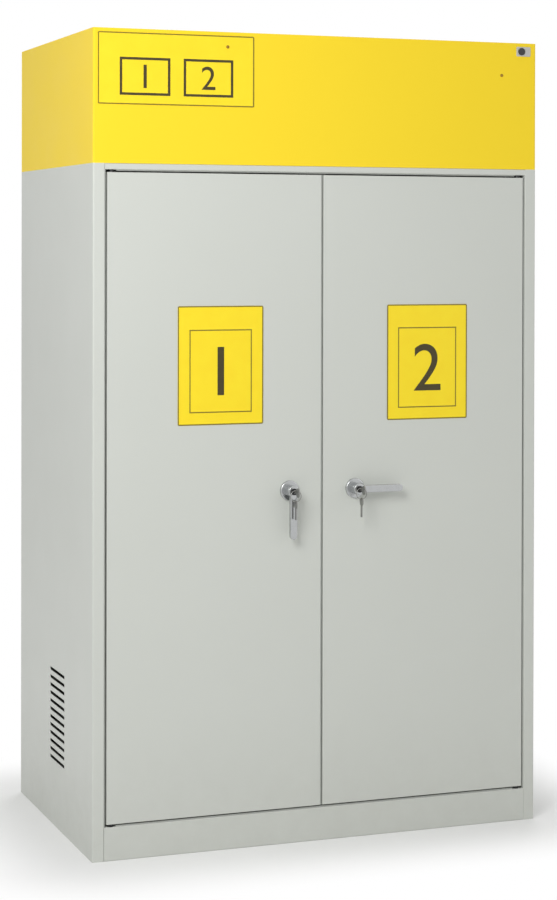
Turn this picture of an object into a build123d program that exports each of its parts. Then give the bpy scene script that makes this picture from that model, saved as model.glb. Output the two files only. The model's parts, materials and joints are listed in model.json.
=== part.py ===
from build123d import *
from math import atan, cos, pi, radians, sin, sqrt, tan
import os

# Two-door ventilated storage cabinet for acids and bases, in sheet steel.
# Millimetres. X runs to the right, Y to the back and Z up. The origin is on the
# floor, under the middle of the steel body.

# ---- driving dimensions: body ----
WIDTH = 1150.0
DEPTH = 700.0
HEIGHT = 1950.0
SHEET = 1.5                # thickness of every folded sheet
HOOD_HEIGHT = 316.0        # yellow top box that holds the fan and the filters
PLINTH_HEIGHT = 79.5
HEADER_HEIGHT = 15.0       # rail between the doors and the hood
STILE_WIDTH = 29.0         # front edge of a side panel, beside the door
RETURN_DEPTH = 25.0        # how far the front frame turns inwards
CORNER_RADIUS = 4.0        # outside radius of the long vertical folds
FOLD_RADIUS = 2.5          # outside radius of the inner folds

# ---- driving dimensions: doors and hinges ----
DOOR_GAP = 6.0             # gap round each door and between the two
DOOR_THICKNESS = 28.0
DOOR_EDGE_RADIUS = 1.2
PIVOT_INSET = 12.0         # hinge axis from the door's outer edge
PIVOT_SETBACK = 8.0        # hinge axis behind the door's front face
PIN_RADIUS = 4.0
PIN_LENGTH = 14.0          # length of pin inside the door
PIN_HEAD_RADIUS = 5.5
PIN_HEAD_HEIGHT = 2.0
PIN_SHOULDER_RADIUS = 7.0
BUSH_WALL = 2.0
BUSH_FLANGE_RADIUS = 8.0
BUSH_FLANGE = 1.0

# ---- driving dimensions: handles, locks and keys ----
HUB_FROM_CENTRE = 85.0     # hub axis from the middle of the cabinet
HUB_HEIGHT = 852.0         # hub axis above the floor
ROSE_RADIUS = 24.0
ROSE_THICKNESS = 7.0
ROSE_EDGE_RADIUS = 2.5
HUB_RADIUS = 14.0
HUB_LENGTH = 27.0
HUB_EDGE_RADIUS = 2.0
NECK_RADIUS = 7.0
LEVER_LENGTH = 115.0       # hub axis to the lever's far end
LEVER_WIDTH = 18.0
LEVER_THICKNESS = 11.0
LEVER_EDGE_RADIUS = 2.5
SPINDLE_SIDE = 8.0
SPINDLE_TIP_RADIUS = 3.5
PLUG_RADIUS = 8.0
PLUG_DEPTH = 20.0
PLUG_PROUD = 1.0
KEYWAY_HEIGHT = 8.0
KEYWAY_WIDTH = 2.4
KEYWAY_DEPTH = 17.0         # from the plug's front
KEY_THICKNESS = 2.2
BLADE_LENGTH = 15.0         # key's blade inside the plug
SHANK_RADIUS = 3.0
SHANK_LENGTH = 14.0
BOW_RADIUS = 11.0
BOW_LAP = 1.0               # how far a bow runs into its shank or blade
BOW_HOLE_RADIUS = 2.5
SPARE_BOW_RADIUS = 10.0
SPARE_BLADE_LENGTH = 28.0
RING_INNER_RADIUS = 12.5
RING_WIRE_RADIUS = 0.9

# ---- driving dimensions: latch gear and rods ----
TEETH = 12
MODULE = 1.75
PRESSURE_ANGLE = 20.0
PINION_WIDTH = 10.0
TOOTH_BACKLASH = 0.25      # taken off each tooth at the pitch line
TOOTH_FOOT = 1.0           # how far a tooth runs into the gear's body
RACK_ADDENDUM = 0.65       # rack tooth above its pitch line, in modules
RACK_DEDENDUM = 1.25       # rack tooth below its pitch line, in modules
RACK_COUNT_BEYOND = 2      # rack teeth past the hub
RACK_SPARE_PITCHES = 1.5   # bar past the last tooth, in tooth pitches
ROD_RADIUS = 4.0
ROD_SETBACK = 12.0         # rod axis behind the door's front face
RACK_BODY = 6.8            # rack bar behind its tooth roots
SHAFT_CLEAR = 3.5          # from the gear's pitch circle to where a rod turns round
CASE_WALL = 2.0
CASE_AIR = 2.0             # between the gear and the case's back
CASE_HEIGHT = 44.0
GUIDE_WIDTH = 20.0
GUIDE_HEIGHT = 14.0
GUIDE_FROM_END = 60.0      # outer guide from the door's end
STRIKE_LENGTH = 40.0
STRIKE_WIDTH = 18.0
STRIKE_THICKNESS = 2.0
STRIKE_CLEARANCE = 1.0

# ---- driving dimensions: inside ----
MULLION_WIDTH = 40.0
MULLION_DEPTH = 20.0
MULLION_GAP = 4.0          # clear of the doors' backs
CROSS_RAIL_WIDTH = 60.0
UPRIGHT_WIDTH = 22.0
UPRIGHT_DEPTH = 10.0
UPRIGHT_FROM_FRONT = 130.0
UPRIGHT_FROM_BACK = 110.0
UPRIGHT_SLOT_WIDTH = 3.0
UPRIGHT_SLOT_HEIGHT = 10.0
UPRIGHT_PITCH = 50.0
SHELF_COUNT = 3
SHELF_FIRST = 390.0        # first shelf above the compartment's floor
SHELF_PITCH = 380.0
SHELF_LIP = 30.0
SHELF_SIDE_GAP = 2.0
SHELF_FRONT_GAP = 60.0     # door's back to the shelf's front
SHELF_BACK_GAP = 45.0
CLIP_LENGTH = 16.0
CLIP_LEG = 20.0
CLIP_LEDGE = 14.0
CLIP_THICKNESS = 1.5
SPILL_HEIGHT = 60.0
OUTLET_RADIUS = 50.0       # air holes in the compartments' ceiling

# ---- driving dimensions: vents, hood and fan ----
VENT_COUNT = 12
VENT_LENGTH = 139.0
VENT_HEIGHT = 8.5
VENT_PITCH = 19.9
VENT_BOTTOM = 166.0        # lowest slot's centre above the floor
VENT_FROM_FRONT = 323.5    # slots' middle behind the front
ROOF_FLANGE = 9.0
COLLAR_RADIUS = 50.0
COLLAR_HEIGHT = 40.0
COLLAR_FLANGE = 15.0
COLLAR_FROM_BACK = 150.0
FILTER_SIZE = 320.0
FILTER_HEIGHT = 60.0
FILTER_LEDGE = 10.0
FILTER_GAP = 1.0
BED_HEIGHT = 45.0
SCROLL_RADIUS = 110.0
SCROLL_WIDTH = 90.0
DUCT_WIDTH = 90.0
SCROLL_LIFT = 12.0         # scroll above the ceiling panel
INLET_RADIUS = 55.0
IMPELLER_RADIUS = 75.0
IMPELLER_WIDTH = 60.0
BLADE_COUNT = 24
BLADE_CHORD = 12.0
BLADE_ANGLE = 30.0
BLADE_THICKNESS = 1.5
DISC_THICKNESS = 2.0
IMPELLER_HUB_RADIUS = 14.0
SHAFT_RADIUS = 4.0
MOTOR_RADIUS = 45.0
MOTOR_LENGTH = 80.0
MOTOR_FLANGE_RADIUS = 60.0
MOTOR_FLANGE = 3.0
MOTOR_EDGE_RADIUS = 8.0
MOTOR_HOLE_RADIUS = 26.0    # in the housing, round the wheel's hub
CRADLE_LENGTH = 120.0
CRADLE_THICKNESS = 2.0
INLET_FLANGE_WIDTH = 50.0   # mains inlet
INLET_FLANGE_HEIGHT = 28.0
INLET_DEPTH = 22.0
INLET_WALL = 2.0
INLET_FROM_SIDE = 175.0
INLET_RISE = 80.0
SOCKET_WIDTH = 24.0
SOCKET_HEIGHT = 16.0
CONTACT_THICKNESS = 2.0
CONTACT_HEIGHT = 4.0
CONTACT_LENGTH = 12.0
CONTACT_PITCH = 7.0
SWITCH_FROM_SIDE = 40.5
SWITCH_FROM_TOP = 21.0
SWITCH_RADIUS = 9.0
SWITCH_WALL = 1.8
SWITCH_PLATE_WIDTH = 39.0
SWITCH_PLATE_HEIGHT = 24.0
SWITCH_PLATE_SHIFT = 5.6    # plate's middle to the right of the button
SWITCH_PLATE_THICKNESS = 1.5
SWITCH_PLATE_RADIUS = 3.0
SWITCH_EDGE_RADIUS = 0.75
SWITCH_DEPTH = 15.0
SWITCH_END_WALL = 1.5
SWITCH_TRAVEL = 2.5
SWITCH_CLEARANCE = 0.3

# ---- driving dimensions: plates and fasteners ----
PLATE_THICKNESS = 1.0
PLATE_CORNER_RADIUS = 4.0
DOOR_SIGN_WIDTH = 215.0
DOOR_SIGN_HEIGHT = 283.0
LEFT_SIGN_SHIFT = 11.5      # sign's middle to the right of its door's middle
RIGHT_SIGN_SHIFT = 6.5
DOOR_SIGN_Z = 1156.5
HOOD_SIGN_WIDTH = 387.0
HOOD_SIGN_HEIGHT = 169.0
HOOD_SIGN_FROM_SIDE = 11.0
HOOD_SIGN_FROM_TOP = 9.0
SCREW_RADIUS = 4.0
SCREW_HEAD = 2.0
SCREW_SHANK_RADIUS = 2.0
SCREW_SHANK = 8.0
FRONT_SCREW_FROM_SIDE = 95.0
FRONT_SCREW_FROM_TOP = 82.0
BACK_SCREW_INSET = 40.0
WALL_HOLE_RADIUS = 4.5
WALL_HOLE_FROM_SIDE = 125.0
WALL_HOLE_BELOW_HOOD = 74.0

# ---- clearances ----
RUNNING = 0.05             # radial, for pins, shafts and rods in their bores
LOCK_RUNNING = 0.1         # radial, for the lock plug
FACE_GAP = 0.3             # between flat faces of pieces that turn on each other
HANG_GAP = 0.2             # key ring on the key's shank, spare key on the ring
OVERCUT = 1.0              # how far a cut reaches past the face that it opens

# ---- places worked out from the sizes ----
HALF = SHEET / 2
SIDE = WIDTH / 2
FRONT = -DEPTH / 2
BACK = DEPTH / 2
HOOD_Z = HEIGHT - HOOD_HEIGHT
OPEN_X = SIDE - STILE_WIDTH
OPEN_TOP = HOOD_Z - HEADER_HEIGHT
INSIDE_X = SIDE - SHEET
INSIDE_BACK = BACK - SHEET
FRAME_BACK = FRONT + RETURN_DEPTH
DOOR_INNER_X = DOOR_GAP / 2
DOOR_OUTER_X = OPEN_X - DOOR_GAP
DOOR_BOTTOM = PLINTH_HEIGHT + DOOR_GAP
DOOR_TOP = OPEN_TOP - DOOR_GAP
DOOR_BACK = FRONT + DOOR_THICKNESS
SKIN_BACK = FRONT + SHEET
LINER_FRONT = DOOR_BACK - SHEET
PIVOT_X = DOOR_OUTER_X - PIVOT_INSET
PIVOT_Y = FRONT + PIVOT_SETBACK
BUSH_RADIUS = PIN_RADIUS + BUSH_WALL
MULLION_FRONT = DOOR_BACK + MULLION_GAP
ROD_Y = FRONT + ROD_SETBACK
PITCH_RADIUS = MODULE * TEETH / 2
TOOTH_PITCH = pi * MODULE
RACK_ROOT = PITCH_RADIUS + RACK_DEDENDUM * MODULE
RACK_BACK = RACK_ROOT + RACK_BODY
ROD_OFFSET = RACK_BACK - ROD_RADIUS
ROD_TRAVEL = PITCH_RADIUS * pi / 2
ROSE_FRONT = FRONT - ROSE_THICKNESS
HUB_BACK = ROSE_FRONT - FACE_GAP
HUB_FRONT = HUB_BACK - HUB_LENGTH
PLUG_FRONT = HUB_FRONT - PLUG_PROUD
SHANK_FRONT = PLUG_FRONT - SHANK_LENGTH
RING_Y = PLUG_FRONT - SPARE_BOW_RADIUS - FACE_GAP
RING_RADIUS = RING_INNER_RADIUS + RING_WIRE_RADIUS
CASE_FRONT = SKIN_BACK
CASE_BACK = ROD_Y + PINION_WIDTH / 2 + CASE_AIR + CASE_WALL
FAN_Z = HOOD_Z + SCROLL_LIFT + SCROLL_RADIUS
COLLAR_Y = BACK - COLLAR_FROM_BACK
FAN_Y = COLLAR_Y - (SCROLL_RADIUS - DUCT_WIDTH / 2)
ROOF_UNDER = HEIGHT - SHEET
WALL_HOLE_X = SIDE - WALL_HOLE_FROM_SIDE
WALL_HOLE_Z = HOOD_Z - WALL_HOLE_BELOW_HOOD
DOOR_MIDDLE_X = (DOOR_INNER_X + DOOR_OUTER_X) / 2
INLET_X = INLET_FROM_SIDE - SIDE
INLET_Z = HOOD_Z + INLET_RISE
SWITCH_X = SIDE - SWITCH_FROM_SIDE
SWITCH_Z = HEIGHT - SWITCH_FROM_TOP
SHELF_X = (SHEET / 2 + UPRIGHT_DEPTH + SHELF_SIDE_GAP, INSIDE_X - UPRIGHT_DEPTH - SHELF_SIDE_GAP)
SHELF_Y = (DOOR_BACK + SHELF_FRONT_GAP, INSIDE_BACK - SHELF_BACK_GAP)
SHELF_Z = [PLINTH_HEIGHT + SHELF_FIRST + SHELF_PITCH * i for i in range(SHELF_COUNT)]
UPRIGHT_Y = (FRONT + UPRIGHT_FROM_FRONT, BACK - UPRIGHT_FROM_BACK)
SIDES = {"left": -1, "right": 1}


# ---- small helpers ----
def block(x, y, z):
    """A box between two values on each axis, given in any order."""
    size = [abs(b - a) for a, b in (x, y, z)]
    middle = [(a + b) / 2 for a, b in (x, y, z)]
    return Pos(*middle) * Box(*size)


def along_x(radius, x, y, z):
    """A cylinder along X between two values of x."""
    return Pos((x[0] + x[1]) / 2, y, z) * Rot(0, 90, 0) * Cylinder(radius, abs(x[1] - x[0]))


def along_y(radius, x, y, z):
    """A cylinder along Y between two values of y."""
    return Pos(x, (y[0] + y[1]) / 2, z) * Rot(90, 0, 0) * Cylinder(radius, abs(y[1] - y[0]))


def along_z(radius, x, y, z):
    """A cylinder along Z between two values of z."""
    return Pos(x, y, (z[0] + z[1]) / 2) * Cylinder(radius, abs(z[1] - z[0]))


def strip(points, radii):
    """The section of a folded sheet: its middle line, rounded at the folds, given its thickness."""
    return trace(FilletPolyline(*points, radius=radii), line_width=SHEET)


def save(name, *solids):
    """Write one node, as one solid or as a group of separate solids."""
    found = [solid for shape in solids for solid in shape.solids()]
    shape = found[0] if len(found) == 1 else Compound(found)
    export_step(shape, "parts/" + name + ".step")


# ---- steel body ----
def side_panel(side):
    """A side wall whose front edge folds into the stile, with twelve vent slots low down."""
    line = [
        (SIDE - HALF, BACK),
        (SIDE - HALF, FRONT + HALF),
        (OPEN_X + HALF, FRONT + HALF),
        (OPEN_X + HALF, FRAME_BACK),
    ]
    wall = extrude(strip(line, [CORNER_RADIUS - HALF, FOLD_RADIUS - HALF]), amount=HOOD_Z)
    slot = extrude(Plane.YZ * SlotOverall(VENT_LENGTH, VENT_HEIGHT), amount=2 * SHEET, both=True)
    vents = [
        Pos(SIDE - HALF, FRONT + VENT_FROM_FRONT, VENT_BOTTOM + VENT_PITCH * i) * slot
        for i in range(VENT_COUNT)
    ]
    wall = wall - vents
    return wall if side > 0 else mirror(wall, about=Plane.YZ)


def back_panel():
    """The back wall, with a foot turned inwards and two holes for wall fixings."""
    wall = block((-INSIDE_X, INSIDE_X), (INSIDE_BACK, BACK), (0, HOOD_Z))
    foot = block((-INSIDE_X, INSIDE_X), (BACK - RETURN_DEPTH, INSIDE_BACK), (0, SHEET))
    reach = (INSIDE_BACK - OVERCUT, BACK + OVERCUT)
    holes = [along_y(WALL_HOLE_RADIUS, s * WALL_HOLE_X, reach, WALL_HOLE_Z) for s in (-1, 1)]
    return wall + foot - holes


def frame_rail(low, high):
    """A C-shaped rail of the front frame, between two heights."""
    line = [
        (FRAME_BACK, low + HALF),
        (FRONT + HALF, low + HALF),
        (FRONT + HALF, high - HALF),
        (FRAME_BACK, high - HALF),
    ]
    section = Plane.YZ * strip(line, [FOLD_RADIUS - HALF, FOLD_RADIUS - HALF])
    return extrude(section, amount=OPEN_X, both=True)


def rail_holes(z, rod_side):
    """Holes in a rail's flange for the hinge pins and for the latch rods."""
    reach = (z - 2 * SHEET, z + 2 * SHEET)
    pins = [along_z(PIN_RADIUS, s * PIVOT_X, PIVOT_Y, reach) for s in (-1, 1)]
    rods = [
        along_z(ROD_RADIUS + STRIKE_CLEARANCE, s * HUB_FROM_CENTRE + rod_side * ROD_OFFSET, ROD_Y, reach)
        for s in (-1, 1)
    ]
    return pins + rods


def inner_sheet(top, holes):
    """A level sheet that fills the body between its walls."""
    return block((-INSIDE_X, INSIDE_X), (FRAME_BACK, INSIDE_BACK), (top - SHEET, top)) - holes


def cross_rail():
    """A channel under the floor, from front to back, that carries the middle of the cabinet."""
    x = CROSS_RAIL_WIDTH / 2
    y = (FRAME_BACK, BACK - RETURN_DEPTH)
    web = block((-x, x), y, (0, SHEET))
    legs = [block((s * (x - SHEET), s * x), y, (0, PLINTH_HEIGHT - SHEET)) for s in (-1, 1)]
    return web + legs


def mullion():
    """The channel behind the gap between the two doors."""
    x = MULLION_WIDTH / 2 - HALF
    back = MULLION_FRONT + MULLION_DEPTH
    line = [(-x, back), (-x, MULLION_FRONT + HALF), (x, MULLION_FRONT + HALF), (x, back)]
    height = HOOD_Z - SHEET - PLINTH_HEIGHT
    section = strip(line, [FOLD_RADIUS - HALF, FOLD_RADIUS - HALF])
    return Pos(0, 0, PLINTH_HEIGHT) * extrude(section, amount=height)


def partition():
    """The wall between the acid side and the base side."""
    return block((-HALF, HALF), (MULLION_FRONT + SHEET, INSIDE_BACK), (PLINTH_HEIGHT, HOOD_Z - SHEET))


# ---- shelves ----
def upright():
    """One slotted strip that carries the shelf clips, open towards the wall."""
    height = HOOD_Z - SHEET - PLINTH_HEIGHT
    y = UPRIGHT_WIDTH / 2
    outer = block((0, UPRIGHT_DEPTH), (-y, y), (0, height))
    inner = block((-OVERCUT, UPRIGHT_DEPTH - SHEET), (-y + SHEET, y - SHEET), (-OVERCUT, height + OVERCUT))
    first = SPILL_HEIGHT + UPRIGHT_PITCH
    count = int((height - first) / UPRIGHT_PITCH)
    slot = Box(3 * SHEET, UPRIGHT_SLOT_WIDTH, UPRIGHT_SLOT_HEIGHT)
    slots = [Pos(UPRIGHT_DEPTH, 0, first + UPRIGHT_PITCH * i) * slot for i in range(count)]
    return outer - inner - slots


def uprights():
    """Four strips in each compartment: two on the side wall and two on the partition."""
    one = upright()
    placed = []
    for y in UPRIGHT_Y:
        for x, turn in ((-INSIDE_X, 0), (-HALF, 180), (HALF, 0), (INSIDE_X, 180)):
            placed.append(Pos(x, y, PLINTH_HEIGHT) * Rot(0, 0, turn) * one)
    return placed


def clip():
    """One shelf clip: a leg against the strip and a ledge under the shelf."""
    y = CLIP_LENGTH / 2
    leg = block((0, CLIP_THICKNESS), (-y, y), (-CLIP_LEG, 0))
    ledge = block((0, CLIP_LEDGE), (-y, y), (-CLIP_THICKNESS, 0))
    return leg + ledge


def clips():
    """Four clips under every shelf."""
    one = clip()
    outer = INSIDE_X - UPRIGHT_DEPTH
    inner = HALF + UPRIGHT_DEPTH
    placed = []
    for z in SHELF_Z:
        for y in UPRIGHT_Y:
            for x, turn in ((-outer, 0), (-inner, 180), (inner, 0), (outer, 180)):
                placed.append(Pos(x, y, z) * Rot(0, 0, turn) * one)
    return placed


def tray(side, y, bottom, height):
    """A folded tray, open at the top, that spans one compartment."""
    low, high = SHELF_X
    x = (side * low, side * high)
    inner_x = (side * (low + SHEET), side * (high - SHEET))
    inner_y = (y[0] + SHEET, y[1] - SHEET)
    outer = fillet(block(x, y, (bottom, bottom + height)).edges().filter_by(Axis.Z), CORNER_RADIUS)
    inner = block(inner_x, inner_y, (bottom + SHEET, bottom + height + OVERCUT))
    return outer - fillet(inner.edges().filter_by(Axis.Z), CORNER_RADIUS - SHEET)


# ---- hinges and strikes ----
def hinge_pin(side, top):
    """A pivot pin through a rail's flange, with its head inside and a shoulder towards the door."""
    up = 1 if top else -1
    flange = OPEN_TOP if top else PLINTH_HEIGHT
    edge = DOOR_TOP if top else DOOR_BOTTOM
    x = side * PIVOT_X
    head_foot = flange + up * SHEET
    head = along_z(PIN_HEAD_RADIUS, x, PIVOT_Y, (head_foot, head_foot + up * PIN_HEAD_HEIGHT))
    shoulder = along_z(PIN_SHOULDER_RADIUS, x, PIVOT_Y, (flange, edge + up * (BUSH_FLANGE + FACE_GAP)))
    shank = along_z(PIN_RADIUS, x, PIVOT_Y, (head_foot, edge - up * PIN_LENGTH))
    return head + shoulder + shank


def hinge_bush(side, top):
    """A flanged bush pressed into the door's end, which turns on the pin."""
    up = 1 if top else -1
    edge = DOOR_TOP if top else DOOR_BOTTOM
    x = side * PIVOT_X
    sleeve = along_z(BUSH_RADIUS, x, PIVOT_Y, (edge, edge - up * PIN_LENGTH))
    flange = along_z(BUSH_FLANGE_RADIUS, x, PIVOT_Y, (edge, edge + up * BUSH_FLANGE))
    outside = edge + up * (BUSH_FLANGE + OVERCUT)
    inside = edge - up * (PIN_LENGTH + OVERCUT)
    bore = along_z(PIN_RADIUS + RUNNING, x, PIVOT_Y, (outside, inside))
    return sleeve + flange - bore


def strike(side, top):
    """A plate behind a rail's flange, with the hole that a latch rod enters."""
    up = 1 if top else -1
    face = OPEN_TOP + SHEET if top else PLINTH_HEIGHT - SHEET
    x = side * HUB_FROM_CENTRE - up * ROD_OFFSET
    z = face + up * STRIKE_THICKNESS / 2
    plate = Pos(x, ROD_Y, z) * Box(STRIKE_LENGTH, STRIKE_WIDTH, STRIKE_THICKNESS)
    reach = (z - STRIKE_THICKNESS, z + STRIKE_THICKNESS)
    return plate - along_z(ROD_RADIUS + STRIKE_CLEARANCE, x, ROD_Y, reach)


# ---- doors ----
def door_skin(side):
    """The door's outer pan: a front face with four edges turned inwards."""
    outer = block((side * DOOR_INNER_X, side * DOOR_OUTER_X), (FRONT, DOOR_BACK), (DOOR_BOTTOM, DOOR_TOP))
    front = outer.faces().sort_by(Axis.Y)[0]
    outer = fillet(front.edges(), DOOR_EDGE_RADIUS)
    inner = block(
        (side * (DOOR_INNER_X + SHEET), side * (DOOR_OUTER_X - SHEET)),
        (SKIN_BACK, DOOR_BACK + OVERCUT),
        (DOOR_BOTTOM + SHEET, DOOR_TOP - SHEET),
    )
    hub_x = side * HUB_FROM_CENTRE
    through = (FRONT - OVERCUT, SKIN_BACK + OVERCUT)
    cuts = [along_y(NECK_RADIUS + FACE_GAP, hub_x, through, HUB_HEIGHT)]
    for edge, up in ((DOOR_TOP, 1), (DOOR_BOTTOM, -1)):
        reach = (edge - 2 * SHEET, edge + 2 * SHEET)
        cuts.append(along_z(BUSH_RADIUS, side * PIVOT_X, PIVOT_Y, reach))
        cuts.append(along_z(ROD_RADIUS + FACE_GAP, hub_x - up * ROD_OFFSET, ROD_Y, reach))
    return outer - inner - cuts


def door_liner(side):
    """The sheet that closes the door's back, inside its turned edges."""
    return block(
        (side * (DOOR_INNER_X + SHEET), side * (DOOR_OUTER_X - SHEET)),
        (LINER_FRONT, DOOR_BACK),
        (DOOR_BOTTOM + SHEET, DOOR_TOP - SHEET),
    )


def sign(width, height, x, z):
    """A thin printed plate on the front face."""
    across = (x - width / 2, x + width / 2)
    plate = block(across, (FRONT - PLATE_THICKNESS, FRONT), (z - height / 2, z + height / 2))
    return fillet(plate.edges().filter_by(Axis.Y), PLATE_CORNER_RADIUS)


def rose(x):
    """The round cover plate behind a handle's hub."""
    disc = along_y(ROSE_RADIUS, x, (ROSE_FRONT, FRONT), HUB_HEIGHT)
    rim = disc.faces().sort_by(Axis.Y)[0].edges()
    reach = (ROSE_FRONT - OVERCUT, FRONT + OVERCUT)
    return fillet(rim, ROSE_EDGE_RADIUS) - along_y(NECK_RADIUS + RUNNING, x, reach, HUB_HEIGHT)


def lever(x, angle):
    """A lever handle with its hub, lock bore, neck and spindle. Angle 0 points right, -90 down."""
    hub = along_y(HUB_RADIUS, 0, (HUB_FRONT, HUB_BACK), 0)
    hub = fillet(hub.faces().sort_by(Axis.Y)[0].edges(), HUB_EDGE_RADIUS)
    arm_length = LEVER_LENGTH + LEVER_WIDTH / 2
    arm = extrude(Plane.XZ * SlotOverall(arm_length, LEVER_WIDTH), amount=LEVER_THICKNESS)
    arm = fillet(arm.faces().filter_by(Axis.Y).edges(), LEVER_EDGE_RADIUS)
    arm_middle = LEVER_LENGTH - arm_length / 2
    arm = Pos(arm_middle, HUB_FRONT + LEVER_THICKNESS, 0) * arm
    neck = along_y(NECK_RADIUS, 0, (HUB_BACK, CASE_FRONT + CASE_WALL), 0)
    square_end = ROD_Y + PINION_WIDTH / 2
    spindle = block(
        (-SPINDLE_SIDE / 2, SPINDLE_SIDE / 2),
        (CASE_FRONT + CASE_WALL, square_end),
        (-SPINDLE_SIDE / 2, SPINDLE_SIDE / 2),
    )
    tip = along_y(SPINDLE_TIP_RADIUS, 0, (square_end, CASE_BACK), 0)
    bore = along_y(PLUG_RADIUS + LOCK_RUNNING, 0, (HUB_FRONT - OVERCUT, HUB_FRONT + PLUG_DEPTH), 0)
    return Pos(x, 0, HUB_HEIGHT) * Rot(0, -angle, 0) * (hub + arm + neck + spindle + tip - bore)


def lock_plug(x):
    """The lock's turning plug, with its keyway upright."""
    plug = along_y(PLUG_RADIUS, x, (PLUG_FRONT, HUB_FRONT + PLUG_DEPTH - FACE_GAP), HUB_HEIGHT)
    z = KEYWAY_HEIGHT / 2
    keyway = block(
        (x - KEYWAY_WIDTH / 2, x + KEYWAY_WIDTH / 2),
        (PLUG_FRONT - OVERCUT, PLUG_FRONT + KEYWAY_DEPTH),
        (HUB_HEIGHT - z, HUB_HEIGHT + z),
    )
    return plug - keyway


def key(x):
    """The key in the lock: blade, round shank and flat bow, which stands upright."""
    half = KEY_THICKNESS / 2
    z = KEYWAY_HEIGHT / 2 - (KEYWAY_WIDTH - KEY_THICKNESS) / 2
    blade = block(
        (x - half, x + half),
        (PLUG_FRONT, PLUG_FRONT + BLADE_LENGTH),
        (HUB_HEIGHT - z, HUB_HEIGHT + z),
    )
    shank = along_y(SHANK_RADIUS, x, (SHANK_FRONT, PLUG_FRONT), HUB_HEIGHT)
    bow_y = SHANK_FRONT - BOW_RADIUS + BOW_LAP
    bow = along_x(BOW_RADIUS, (x - half, x + half), bow_y, HUB_HEIGHT)
    hole = along_x(BOW_HOLE_RADIUS, (x - KEY_THICKNESS, x + KEY_THICKNESS), bow_y - BOW_RADIUS / 2, HUB_HEIGHT)
    return blade + shank + bow - hole


def key_ring(x):
    """A wire ring hung on the key's shank."""
    z = HUB_HEIGHT + SHANK_RADIUS + HANG_GAP - RING_INNER_RADIUS
    return Pos(x, RING_Y, z) * Rot(90, 0, 0) * Torus(RING_RADIUS, RING_WIRE_RADIUS)


def spare_key(x):
    """The second key, hung on the ring by the hole in its bow."""
    half = KEY_THICKNESS / 2
    wire_z = HUB_HEIGHT + SHANK_RADIUS + HANG_GAP - RING_INNER_RADIUS - RING_RADIUS
    hole_z = wire_z - (BOW_HOLE_RADIUS - RING_WIRE_RADIUS - HANG_GAP)
    bow_z = hole_z - SPARE_BOW_RADIUS / 2
    bow = along_x(SPARE_BOW_RADIUS, (x - half, x + half), RING_Y, bow_z)
    blade_top = bow_z - SPARE_BOW_RADIUS + BOW_LAP
    y = KEYWAY_HEIGHT / 2
    blade = block((x - half, x + half), (RING_Y - y, RING_Y + y), (blade_top, blade_top - SPARE_BLADE_LENGTH))
    hole = along_x(BOW_HOLE_RADIUS, (x - KEY_THICKNESS, x + KEY_THICKNESS), RING_Y, hole_z)
    return bow + blade - hole


# ---- latch gear and rods ----
def involute(radius, base):
    """The angle, in radians, by which an involute leaves its base circle at a radius."""
    roll = sqrt(max((radius / base) ** 2 - 1, 0))
    return roll - atan(roll)


def pinion_section():
    """A toothed wheel with involute flanks, one tooth centred on +X."""
    base = PITCH_RADIUS * cos(radians(PRESSURE_ANGLE))
    tip = PITCH_RADIUS + MODULE
    root = PITCH_RADIUS - RACK_ADDENDUM * MODULE - FACE_GAP
    half_pitch_angle = (TOOTH_PITCH / 2 - TOOTH_BACKLASH) / (2 * PITCH_RADIUS)
    half_base_angle = half_pitch_angle + involute(PITCH_RADIUS, base)
    steps = 6
    radii = [base + (tip - base) * i / steps for i in range(steps + 1)]
    flank = [(r, half_base_angle - involute(r, base)) for r in radii]
    side = [(root - TOOTH_FOOT, half_base_angle)] + flank
    outline = [(r, -a) for r, a in side] + [(r, a) for r, a in reversed(side)]
    tooth = make_face(Polyline(*[(r * cos(a), r * sin(a)) for r, a in outline], close=True))
    wheel = Circle(root)
    for i in range(TEETH):
        wheel += Rot(0, 0, 360 * i / TEETH) * tooth
    return wheel - Rectangle(SPINDLE_SIDE, SPINDLE_SIDE)


def pinion(x, angle):
    """The gear on the spindle that drives both latch rods."""
    wheel = extrude(Plane.XZ * pinion_section(), amount=PINION_WIDTH / 2, both=True)
    return Pos(x, ROD_Y, HUB_HEIGHT) * Rot(0, -angle, 0) * wheel


def rack_tooth():
    """One straight-sided rack tooth, pointing along -X, whose root line is at x = 0."""
    slope = tan(radians(PRESSURE_ANGLE))
    at_pitch = TOOTH_PITCH / 4 - TOOTH_BACKLASH / 2
    depth = RACK_ROOT - PITCH_RADIUS
    tip = depth + RACK_ADDENDUM * MODULE
    at_root = at_pitch + depth * slope
    at_tip = at_pitch - RACK_ADDENDUM * MODULE * slope
    outline = [(0, -at_root), (0, at_root), (-tip, at_tip), (-tip, -at_tip)]
    return extrude(Plane.XZ * make_face(Polyline(*outline, close=True)), amount=ROD_RADIUS, both=True)


def rod(top):
    """A latch rod with its rack, to the right of the hub and running down; turned over for the top."""
    end = DOOR_BOTTOM + SHEET if not top else 2 * HUB_HEIGHT - DOOR_TOP + SHEET
    bar = block(
        (RACK_ROOT, RACK_BACK),
        (-ROD_RADIUS, ROD_RADIUS),
        (-CASE_HEIGHT / 2, ROD_TRAVEL + TOOTH_PITCH * RACK_SPARE_PITCHES),
    )
    one = rack_tooth()
    places = range(-RACK_COUNT_BEYOND, 1 + round(ROD_TRAVEL / TOOTH_PITCH))
    teeth = [Pos(RACK_ROOT, 0, TOOTH_PITCH * (i + 0.5)) * one for i in places]
    shaft_top = -PITCH_RADIUS - SHAFT_CLEAR
    shaft = along_z(ROD_RADIUS, ROD_OFFSET, 0, (end - HUB_HEIGHT, shaft_top))
    return bar + teeth + shaft


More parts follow.
